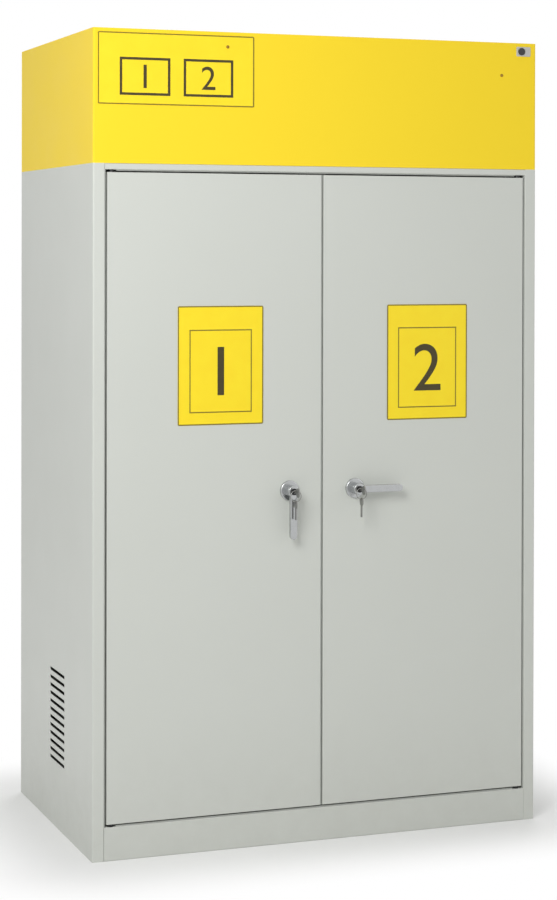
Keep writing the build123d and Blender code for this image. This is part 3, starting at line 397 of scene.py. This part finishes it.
def granules():
    """Crushed carbon: grains 3 to 4 mm wide that stand up by half their width."""
    bed = Shader("carbon_granules")
    cells = {"Vector": bed.place, "Scale": GRANULES_PER_METRE}
    distance = bed.node("ShaderNodeTexVoronoi", {}, cells, "Distance")
    tint = bed.grey(bed.node("ShaderNodeTexVoronoi", {}, cells, "Color"))
    bed.feed("Base Color", bed.mix(tint, srgb(24, 24, 25), srgb(62, 62, 64)))
    bed.feed("Roughness", tint * 0.3 + 0.45)
    bed.feed("Normal", bed.bump(1 - distance, 0.9, GRANULE_DEPTH))
    return bed.material


BLACK_PLASTIC = moulded("black_plastic", srgb(34, 34, 35), srgb(46, 46, 47), 0.42)
GREY_PLASTIC = moulded("grey_plastic", srgb(196, 196, 190), srgb(182, 182, 177), 0.38)
GUIDE_PLASTIC = moulded("guide_plastic", srgb(150, 152, 152), srgb(136, 138, 139), 0.5)
# Both seal foams are pale partly by their own colour and partly as painted light that greys the
# door gaps; the edge foam is paler still, for the centre gap.
SEAL_FOAM_AND_PAINTED_LIGHT = moulded("seal_foam_and_painted_light", srgb(172, 175, 170), srgb(158, 161, 156), 0.8)
EDGE_FOAM_AND_PAINTED_LIGHT = moulded("edge_foam_and_painted_light", srgb(186, 190, 185), srgb(170, 174, 169), 0.8)
ENAMEL = powder_coat("motor_enamel", srgb(74, 78, 84), srgb(62, 66, 72), 0.4)
CARBON = granules()
print("plastics, enamel and carbon ready")

# %% [markdown]
# ## Printed plates
#
# Each plate is a yellow printed sheet with thin dark frame lines. On a door, the inner
# frame leaves a wide margin at the top. The ink is a little glossier than the sheet. The
# lines could be pieces of their own, but they are so thin that paint is enough. A frame is
# drawn by distance: how far a point lies inside a rectangle, measured from the plate's own
# box, tells whether it is on the line.

# %% Printed plates
PAPER = srgb(253, 228, 34)
PAPER_SHADE = srgb(248, 214, 20)
INK = srgb(52, 46, 18)
INK_SHADE = srgb(70, 60, 24)
LINE = 3.0 * MM                   # width of a frame line
PRINT_DEPTH = 0.06 * MM
EDGE_FRAME = (0.0, 0.0, 0.0)      # insets at the sides, the foot and the top
DOOR_FRAME = (0.029, 0.029, 0.056)


def printed_plate(node, frames):
    """A plate with rectangular frame lines, each at its own insets from the plate's edges."""
    low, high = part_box(node)
    film = {"Coat_Weight": 0.2, "Coat_Roughness": 0.15}
    plate = Shader(node + "_print", Specular_IOR_Level=0.35, **film)
    x, _, z = plate.axes()
    lines = None
    for side, foot, top in frames:
        across = (high.x - low.x) / 2 - side - (x - (low.x + high.x) / 2).abs()
        upward = (z - (low.z + foot)).smaller((high.z - top) - z)
        inside = across.smaller(upward)
        line = (inside > 0.0) * (inside < LINE)
        lines = line if lines is None else lines.larger(line)
    grain = plate.noise(900.0, 2.0)
    sheet = plate.mix(plate.noise(26.0, 4.0) * 0.8, PAPER, PAPER_SHADE)
    plate.feed("Base Color", plate.mix(lines * (grain * 0.2 + 0.7), sheet, INK))
    plate.feed("Roughness", 0.4 - lines * 0.08 + grain * 0.08)
    plate.feed("Normal", plate.bump(lines + grain * 0.1, 0.15, PRINT_DEPTH))
    return plate.material


plates = {
    "left_door_sign": printed_plate("left_door_sign", [EDGE_FRAME, DOOR_FRAME]),
    "right_door_sign": printed_plate("right_door_sign", [EDGE_FRAME, DOOR_FRAME]),
    "hood_sign": printed_plate("hood_sign", [EDGE_FRAME]),
}
print("plates", sorted(plates))

# %% [markdown]
# ## Giving each node its finish
#
# The record names one material slot for each node. Sixty nodes could be dressed by hand, but
# a table from slot to finish does it in one loop. A second table names the few nodes that
# differ from their slot.

# %% Finishes for the nodes
FINISHES = {
    "grey_paint": GREY,
    "yellow_paint": YELLOW,
    "chrome": CHROME,
    "steel": STEEL,
    "galvanised": ZINC,
    "black_steel": BLACK_STEEL_AND_PAINTED_SHADE,
    "dark_plastic": BLACK_PLASTIC,
    "grey_plastic": GUIDE_PLASTIC,
    "carbon": CARBON,
    "motor_paint": ENAMEL,
    "aluminium": ALUMINIUM,
}
OWN_FINISHES = {
    "switch_bezel": GREY_PLASTIC,
    "hood_screws": SCREW_ZINC,
    "left_shelves": INSIDE_GREY,
    "right_shelves": INSIDE_GREY,
    "spill_trays": INSIDE_GREY,
    "centre_partition": INSIDE_GREY,
    **plates,
    # The lock plugs' blackened steel is partly painted shade for the dark shadow and reflection
    # round each lock hub.
    **{side + "_lock_plug": BLACK_STEEL_AND_PAINTED_SHADE for side in ("left", "right")},
    **{side + key: KEY_NICKEL for side in ("left", "right") for key in ("_key", "_spare_key")},
}


def dress(piece, material):
    """Gives a piece one material in place of what it had."""
    piece.data.materials.clear()
    piece.data.materials.append(material)


slot_of = {part["node"]: part["material_slot"] for part in frame["record"]["subparts"]}
for node_name, node_object in nodes.items():
    dress(node_object, OWN_FINISHES.get(node_name) or FINISHES[slot_of[node_name]])
print("dressed", len(nodes), "nodes")

# %% [markdown]
# ## Numerals and the compartment plan
#
# The plates say only which compartment is which: a large plain numeral on each door, and
# on the hood a small plan with two numbered fields. On a real plate this is screen-printed
# ink, a few hundredths of a millimetre thick. It could be painted like the frames, but a
# numeral has no simple formula. So each mark is a thin mesh just proud of its plate, and its
# edge stays sharp in any view.

# %% Ink
INK_GRAIN_DEPTH = 0.04 * MM


def ink():
    """Screen-print ink: nearly black, slightly uneven where the screen's mesh pressed it."""
    print_ink = Shader("print_ink", Specular_IOR_Level=0.4)
    mesh_marks = print_ink.noise(1500.0, 2.0)
    cloud = print_ink.noise(60.0, 3.0)
    print_ink.feed("Base Color", print_ink.mix(cloud, INK, INK_SHADE))
    print_ink.feed("Roughness", mesh_marks * 0.15 + 0.36)
    print_ink.feed("Normal", print_ink.bump(mesh_marks, 0.2, INK_GRAIN_DEPTH))
    return print_ink.material


PRINT_INK = ink()
print("ink", PRINT_INK.name)

# %% Closed pieces
SHARP_ANGLE = radians(35.0)


def add_piece(name, mesh, body, material):
    """Puts a finished mesh into the scene as a piece that rides on a body of the frame."""
    piece = bpy.data.objects.new(name, mesh)
    bpy.context.scene.collection.objects.link(piece)
    dress(piece, material)
    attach(piece, body)
    return piece


def piece_from(name, points, faces, body, material):
    """A closed piece made from points in metres, with its faces turned outwards."""
    mesh = bpy.data.meshes.new(name)
    mesh.from_pydata(np.asarray(points).tolist(), [], [list(map(int, face)) for face in faces])
    shape = bmesh.new()
    shape.from_mesh(mesh)
    bmesh.ops.recalc_face_normals(shape, faces=shape.faces)
    shape.to_mesh(mesh)
    shape.free()
    mesh.shade_smooth()
    mesh.set_sharp_from_angle(angle=SHARP_ANGLE)
    return add_piece(name, mesh, body, material)


def box_points(low, high):
    """The eight corners of a box: x changes slowest and z fastest."""
    x, y, z = np.meshgrid(*zip(low, high), indexing="ij")
    return np.stack([x, y, z], -1).reshape(-1, 3)


BOX_FACES = np.array(
    [(0, 1, 3, 2), (4, 6, 7, 5), (0, 4, 5, 1), (2, 3, 7, 6), (0, 2, 6, 4), (1, 5, 7, 3)]
)


def boxes_piece(name, corners, body, material):
    """Several boxes in one piece, each given by its low and its high corner."""
    points = np.vstack([box_points(low, high) for low, high in corners])
    faces = np.vstack([BOX_FACES + 8 * i for i in range(len(corners))])
    return piece_from(name, points, faces, body, material)


print("a box has", len(BOX_FACES), "faces")

# %% Numerals on the doors
INK_LIFT = 0.15 * MM        # from the plate's face to the middle of the ink
INK_DEPTH = 0.1 * MM        # half of its thickness
DOOR_NUMERAL = 115.0 * MM   # height


def numeral(name, digits, middle, height, body, material):
    """Flat digits facing the front, centred on a place, with capitals of the given height."""
    curve = bpy.data.curves.new(name, "FONT")
    curve.body = digits
    curve.extrude = INK_DEPTH
    writing = bpy.data.objects.new(name, curve)
    bpy.context.scene.collection.objects.link(writing)
    bpy.context.view_layer.update()
    mesh = bpy.data.meshes.new_from_object(writing)
    bpy.data.objects.remove(writing)
    flat = np.empty(3 * len(mesh.vertices))
    mesh.vertices.foreach_get("co", flat)
    flat = flat.reshape(-1, 3)
    low, high = flat.min(0), flat.max(0)
    size = height / (high[1] - low[1])
    centred = (flat - (low + high) / 2) * (size, size, 1.0)
    across, up, out = centred.T
    placed = np.stack([middle[0] + across, middle[1] - out, middle[2] + up], -1)
    mesh.vertices.foreach_set("co", placed.ravel())
    mesh.update()
    return add_piece(name, mesh, body, material)


for side, digit in (("left", "1"), ("right", "2")):
    low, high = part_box(side + "_door_sign")
    middle_z = (low.z + DOOR_FRAME[1] + high.z - DOOR_FRAME[2]) / 2
    place = ((low.x + high.x) / 2, low.y - INK_LIFT, middle_z)
    numeral(side + "_sign_numeral", digit, place, DOOR_NUMERAL, side + "_door", PRINT_INK)
print("door numerals", DOOR_NUMERAL, "m high")

# %% Plan on the hood
PLAN_NUMERAL = 55.0 * MM             # height
PLAN_FOOT = 22.0 * MM                # from the sign's foot to the plan
PLAN_TOP = 58.0 * MM                 # from the plan to the sign's top
PLAN_LINE = 6.0 * MM
FIELD_HALF_WIDTH = 62.0 * MM
FIELDS = {"1": 115.0 * MM, "2": 272.0 * MM}      # each one's middle from the sign's left edge


def field_lines(low_x, high_x, low_z, high_z, front, width):
    """Four thin boxes that draw a rectangle."""
    near, far = front - INK_DEPTH, front + INK_DEPTH
    return [
        ((low_x, near, low_z), (high_x, far, low_z + width)),
        ((low_x, near, high_z - width), (high_x, far, high_z)),
        ((low_x, near, low_z + width), (low_x + width, far, high_z - width)),
        ((high_x - width, near, low_z + width), (high_x, far, high_z - width)),
    ]


low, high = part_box("hood_sign")
front = low.y - INK_LIFT
plan_z = (low.z + PLAN_FOOT, high.z - PLAN_TOP)
outlines = []
for digit, from_left in FIELDS.items():
    middle_x = low.x + from_left
    field_x = (middle_x - FIELD_HALF_WIDTH, middle_x + FIELD_HALF_WIDTH)
    outlines += field_lines(*field_x, *plan_z, front, PLAN_LINE)
    place = (middle_x, front, sum(plan_z) / 2)
    numeral("hood_numeral_" + digit, digit, place, PLAN_NUMERAL, "cabinet", PRINT_INK)
boxes_piece("hood_plan_lines", outlines, "cabinet", PRINT_INK)
print("plan with", len(FIELDS), "fields")

# %% [markdown]
# ## Door seals
#
# The doors clear their frame by six millimetres. Foam strips are glued inside the frame,
# just behind its front fold, and a paler one runs down the left door's free edge. Their pale
# grey is partly the foam's own colour and partly painted light, so the gaps look grey
# instead of black. A strip could be a curve with a bevel, but a D-shaped section worked out
# and drawn out along a straight line gives the flat glued side as well. The rails' strips
# stop short of the hinge pins, and the latch rods pass behind them.

# %% Seal strips
SEAL_WIDTH = 4.4 * MM
SEAL_POINTS = 15                   # round the D


def seal_strips(name, strips, body, material):
    """Foam strips in one piece, each given by its two ends, the way it bulges and its height.
    Over half a turn, its section lies along Y by half the width times the angle's cosine, and
    out by the height times the root of the angle's sine."""
    turn = np.linspace(0.0, pi, SEAL_POINTS)
    along = SEAL_WIDTH / 2 * np.cos(turn)
    points, faces = [], []
    for start, end, out, height in strips:
        swell = height * np.sqrt(np.abs(np.sin(turn)))
        section = along[:, None] * np.array([0.0, 1.0, 0.0]) + swell[:, None] * np.array(out)
        first = len(points)
        points += [*(np.array(start) + section), *(np.array(end) + section)]
        here = first + np.arange(SEAL_POINTS)
        beside = first + (np.arange(SEAL_POINTS) + 1) % SEAL_POINTS
        faces += [*np.stack([here, beside, beside + SEAL_POINTS, here + SEAL_POINTS], -1)]
        faces += [here, here[::-1] + SEAL_POINTS]
    return piece_from(name, points, faces, body, material)


print("strips", SEAL_WIDTH, "m wide")

# %% Seals in place
SEAL_SETBACK = 3.0 * MM            # behind the doors' front faces
FRAME_SEAL_HEIGHT = 3.0 * MM
MEETING_SEAL_HEIGHT = 4.5 * MM
PIN_STOP = 18.0 * MM               # from a pin's outer side to the end of a rail's strip

door_low, door_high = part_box("left_door_skin")
header_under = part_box("header_rail")[0].z
plinth_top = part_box("plinth_rail")[1].z
gap = header_under - door_high.z
stile_x = gap - door_low.x
rail_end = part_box("hinge_pins")[1].x - PIN_STOP
seal_y = door_low.y + SEAL_SETBACK + SEAL_WIDTH / 2
frame_strips = []
for side in (-1, 1):
    ends = ((side * stile_x, seal_y, plinth_top), (side * stile_x, seal_y, header_under))
    frame_strips.append((*ends, (-side, 0, 0), FRAME_SEAL_HEIGHT))
for rail_z, out_z in ((plinth_top, 1), (header_under, -1)):
    ends = ((-rail_end, seal_y, rail_z), (rail_end, seal_y, rail_z))
    frame_strips.append((*ends, (0, 0, out_z), FRAME_SEAL_HEIGHT))
seal_strips("frame_seals", frame_strips, "cabinet", SEAL_FOAM_AND_PAINTED_LIGHT)
ends = ((door_high.x, seal_y, door_low.z), (door_high.x, seal_y, door_high.z))
meeting_strip = (*ends, (1, 0, 0), MEETING_SEAL_HEIGHT)
seal_strips("meeting_seal", [meeting_strip], "left_door", EDGE_FOAM_AND_PAINTED_LIGHT)
print("seals at x", round(stile_x, 4), "and z", round(plinth_top, 4), round(header_under, 4))

# %% [markdown]
# ## Screws with a cross recess
#
# A screw head is a dome with a cross pressed into it. The cross could be cut out with a
# boolean, which leaves slivers that shade badly. A polar grid of points gives both: the
# dome's height falls off with the radius, and the cross takes some of it away again.

# %% Screw shape
SCREW_RADIUS = 4.0 * MM
SCREW_HEAD = 2.0 * MM
SHANK_RADIUS = 2.0 * MM
SHANK_LENGTH = 8.0 * MM
CROSS_DEPTH = 1.1 * MM
CROSS_HALF_WIDTH = 0.5 * MM
CROSS_REACH = 2.4 * MM
CROSS_SLOPE = 0.3 * MM
SCREW_RINGS = 26
SCREW_SPOKES = 64
HEAD_SHARES = np.arange(1, SCREW_RINGS + 1) / SCREW_RINGS


def rise(value, low, high):
    """A smooth change from 0 to 1 while the value goes from low to high: with the share of the
    way, its square times three less twice the share."""
    share = np.clip((value - low) / (high - low), 0.0, 1.0)
    return share * share * (3 - 2 * share)


def polar_faces(rings, spokes):
    """Faces of a polar grid whose point 0 is the middle: the triangles round it, then the quads
    between each ring and the next."""
    first = 1 + np.arange(spokes)
    fan = np.stack([0 * first, first, np.roll(first, -1)], -1)
    inner = spokes * np.arange(rings - 1)[:, None]
    here, beside = (inner + first).ravel(), (inner + np.roll(first, -1)).ravel()
    return fan, np.stack([here, here + spokes, beside + spokes, beside], -1)


def screw_height(radius, turn):
    """Height above the head's seat on a grid of radius by angle. The dome is the head's height
    times the root of one less the radius's share to the fourth power. The cross is taken off
    where a point is near one of its arms' middle lines and inside their reach. The shank's two
    rings come last, one at the seat and one at the tip."""
    dome = np.concatenate([SCREW_HEAD * np.sqrt(1 - HEAD_SHARES**4), [0.0, -SHANK_LENGTH]])
    dome = dome[:, None]
    thin = radius[:, None] * np.minimum(np.abs(np.cos(turn)), np.abs(np.sin(turn)))
    narrow = 1 - rise(thin, CROSS_HALF_WIDTH, CROSS_HALF_WIDTH + CROSS_SLOPE)
    inner = 1 - rise(radius[:, None], CROSS_REACH, CROSS_REACH + CROSS_SLOPE)
    return dome - CROSS_DEPTH * narrow * inner * (dome > 0)


def screws(name, places):
    """Screws along Y in one piece. Each place is the middle of a head's seat, and the side, -1
    or 1, to which the head stands out."""
    radius = np.concatenate([SCREW_RADIUS * HEAD_SHARES, [SHANK_RADIUS, SHANK_RADIUS]])
    turn = 2 * pi * np.arange(SCREW_SPOKES) / SCREW_SPOKES
    across, upward = radius[:, None] * np.cos(turn), radius[:, None] * np.sin(turn)
    height = screw_height(radius, turn)
    fan, quads = polar_faces(len(radius), SCREW_SPOKES)
    tip = 1 + (len(radius) - 1) * SCREW_SPOKES + np.arange(SCREW_SPOKES)
    points, faces = [], []
    for (x, y, z), out in places:
        ringed = np.stack([x + across, y + out * height, z + upward], -1).reshape(-1, 3)
        base = len(points)
        points += [(x, y + out * (SCREW_HEAD - CROSS_DEPTH), z), *ringed]
        faces += [*(quads + base), *(fan + base), tip + base]
    return piece_from(name, points, faces, "cabinet", SCREW_ZINC)


print("screw head", SCREW_RINGS, "rings of", SCREW_SPOKES, "points")

# %% Screws in place
SCREW_SPACING = 20.0 * MM            # two screws are never nearer than this
SIGN_SCREW_FROM_SIDE = 67.0 * MM     # from the hood sign's right edge
SIGN_SCREW_FROM_TOP = 26.5 * MM


def groups(points, reach):
    """The boxes round groups of points, each group within a reach of its first point."""
    boxes = []
    while len(points):
        near = np.linalg.norm(points - points[0], axis=1) < reach
        boxes.append((points[near].min(0), points[near].max(0)))
        points = points[~near]
    return boxes


mesh = nodes["hood_screws"].data
corners = np.empty(3 * len(mesh.vertices))
mesh.vertices.foreach_get("co", corners)
hood_places = []
for low, high in groups(corners.reshape(-1, 3), SCREW_SPACING):
    out = 1 if low[1] > 0 else -1
    seat = (high[1] if out > 0 else low[1]) - out * SCREW_HEAD
    hood_places.append((((low[0] + high[0]) / 2, seat, (low[2] + high[2]) / 2), out))
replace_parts(screws("hood_cross_screws", hood_places), "hood_screws")

low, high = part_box("hood_sign")
sign_place = (high.x - SIGN_SCREW_FROM_SIDE, low.y, high.z - SIGN_SCREW_FROM_TOP)
screws("sign_screw", [(sign_place, -1)])
print("screws", len(hood_places) + 1)

# %% [markdown]
# ## The studio
#
# The cabinet stands on a pale floor that fades into a white surround. Near the cabinet the
# floor is a real surface and keeps the shadow; further off it looks the same white as the
# background, so no horizon shows, and yet it goes on lighting the cabinet as a floor does.
# A curved backdrop could hide the horizon too, but it would stand in the way of a view from
# behind. The background is white to the camera and in reflections, but lights the cabinet
# only at a plain level.

# %% Surround
AMBIENT = 0.46             # how strongly the surround lights the cabinet


def seen_directly(shader_tree):
    """1 for rays from the camera, mirrors or glass, and 0 for light on a dull surface."""
    path = shader_tree.nodes.new("ShaderNodeLightPath")
    total = path.outputs["Is Camera Ray"]
    for kind in ("Glossy", "Transmission"):
        larger = shader_tree.nodes.new("ShaderNodeMath")
        larger.operation = "MAXIMUM"
        shader_tree.links.new(total, larger.inputs[0])
        shader_tree.links.new(path.outputs[f"Is {kind} Ray"], larger.inputs[1])
        total = larger.outputs[0]
    return total


def surround():
    """A world that is white to look at and AMBIENT bright as a light."""
    world = bpy.data.worlds.new("studio_surround")
    bpy.context.scene.world = world
    world.use_nodes = True
    tree = world.node_tree
    strength = tree.nodes.new("ShaderNodeMapRange")
    strength.inputs["To Min"].default_value = AMBIENT
    strength.inputs["To Max"].default_value = 1.0
    tree.links.new(seen_directly(tree), strength.inputs["Value"])
    tree.nodes["Background"].inputs["Color"].default_value = (1.0, 1.0, 1.0, 1.0)
    tree.links.new(strength.outputs[0], tree.nodes["Background"].inputs["Strength"])


surround()
print("surround lights with", AMBIENT)

# %% Floor
FLOOR_RADIUS = 14.0
FLOOR_RINGS = 24
FLOOR_SPOKES = 96
FADE_START = 0.02          # metres from the cabinet's footprint
FADE_END = 0.36


def disc_mesh(name, radius, rings, spokes):
    """A flat disc. The rings part the radius evenly and the spokes part the circle, so a point
    lies at its ring's share of the radius and its spoke's share of a full turn."""
    share = np.arange(1, rings + 1)[:, None] / rings
    turn = 2 * pi * np.arange(spokes) / spokes
    across, along = radius * share * np.cos(turn), radius * share * np.sin(turn)
    flat = np.stack([across, along, 0 * across], -1)
    points = np.vstack([[0.0, 0.0, 0.0], flat.reshape(-1, 3)])
    fan, quads = polar_faces(rings, spokes)
    mesh = bpy.data.meshes.new(name)
    mesh.from_pydata(points.tolist(), [], fan.tolist() + quads.tolist())
    return mesh


def floor_material():
    """Pale floor that looks like the surround's white further off. The distance from the
    cabinet's box is the root of the sum of the squares of how far a point lies beside it and
    before or behind it."""
    floor_paint = Shader("studio_floor", Roughness=0.9, Specular_IOR_Level=0.2)
    x, y, _ = floor_paint.axes()
    beside = (x.abs() - cad_box[1].x).larger(0.0)
    before = (y.abs() - cad_box[1].y).larger(0.0)
    away = (beside * beside + before * before) ** 0.5
    fade = floor_paint.step(away, FADE_START, FADE_END)
    mottle = floor_paint.noise(3.0, 3.0)
    tone = floor_paint.mix(mottle, srgb(246, 246, 245), srgb(249, 249, 249))
    floor_paint.feed("Base Color", tone)
    tree = floor_paint.tree
    white = tree.nodes.new("ShaderNodeEmission")
    blend = tree.nodes.new("ShaderNodeMixShader")
    seen_fade = fade * Value(floor_paint, seen_directly(tree))
    tree.links.new(seen_fade.socket, blend.inputs["Fac"])
    tree.links.new(floor_paint.surface.outputs[0], blend.inputs[1])
    tree.links.new(white.outputs[0], blend.inputs[2])
    tree.links.new(blend.outputs[0], floor_paint.output.inputs["Surface"])
    return floor_paint.material


floor_mesh = disc_mesh("studio_floor", FLOOR_RADIUS, FLOOR_RINGS, FLOOR_SPOKES)
floor = bpy.data.objects.new("studio_floor", floor_mesh)
bpy.context.scene.collection.objects.link(floor)
dress(floor, floor_material())
print("floor radius", FLOOR_RADIUS)

# %% [markdown]
# ## Lamps
#
# The photograph's front is brightest at its upper left, and the left side is a little darker
# than the front. The surround could do all the lighting, but then every side would look the
# same. A soft key lamp stands close by, to the left, in front and above, so that
# its light falls off to the right and downwards. Four weaker ones fill the left side, the
# right, the back and the roof. All are far bigger than a bulb, so no shadow has a hard edge.

# %% Lamps
def soft_lamp(name, place, aim, size, watts):
    """A square lamp at a place, pointed at another place."""
    light = bpy.data.lights.new(name, "AREA")
    light.shape = "SQUARE"
    light.size = size
    light.energy = watts
    lamp = bpy.data.objects.new(name, light)
    turn = (Vector(aim) - Vector(place)).to_track_quat("-Z", "Y").to_matrix().to_4x4()
    lamp.matrix_world = Matrix.Translation(place) @ turn
    bpy.context.scene.collection.objects.link(lamp)


# Each lamp's place, the place it points at, its size in metres and its watts.
LAMPS = {
    "key_lamp": ((-1.7, -2.3, 2.3), (-0.5, -0.3, 1.4), 1.2, 42.0),
    "side_lamp": ((-4.5, -0.2, 1.8), (-0.6, 0.0, 1.0), 2.4, 8.0),
    "fill_lamp": ((3.4, -3.6, 2.4), (0.0, 0.0, 0.9), 2.6, 16.5),
    "back_lamp": ((2.2, 3.8, 2.2), (0.0, 0.0, 1.0), 2.6, 40.0),
    "top_lamp": ((0.2, 0.5, 4.2), (0.0, 0.2, 1.9), 2.2, 27.0),
}
for lamp_name, (place, aim, size, watts) in LAMPS.items():
    soft_lamp(lamp_name, place, aim, size, watts)
bpy.context.scene.view_settings.view_transform = "Standard"
print("lamps", len(LAMPS))
